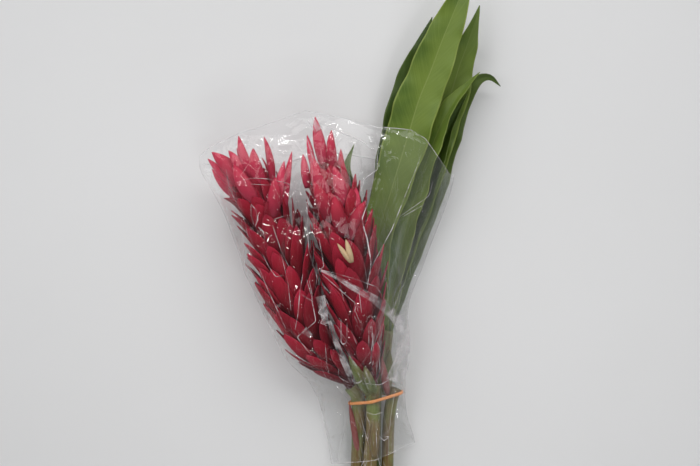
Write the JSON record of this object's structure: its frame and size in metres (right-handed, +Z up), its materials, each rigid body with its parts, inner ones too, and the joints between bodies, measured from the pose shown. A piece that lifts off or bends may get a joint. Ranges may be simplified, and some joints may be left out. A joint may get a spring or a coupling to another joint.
{
  "type": "red ginger flower",
  "caption": "Bunch of red ginger flower heads and a leafy shoot, tied by their stems with a rubber band in an open clear film sleeve.",
  "frame": {"origin": "middle of the bunch's underside, on the surface it lies on", "axes": "+Y from the cut ends to the leaf tips, +Z up from the surface the bunch lies on, +X to the right seen from above"},
  "size_m": [0.3062, 0.6368, 0.0952],
  "materials": {
    "bract": "waxy crimson bracts",
    "stem": "satin green stem",
    "leaf": "waxy green leaf",
    "band": "natural rubber, orange",
    "film": "thin clear glossy film, crumpled"
  },
  "bodies": {
    "root": {"flower_head_left": "bract", "flower_head_centre": "bract", "stem_left": "stem", "stem_centre": "stem", "cut_shoot": "stem", "leafy_shoot": "leaf", "rubber_band": "band", "film_sleeve": "film"}
  },
  "joints": []
}
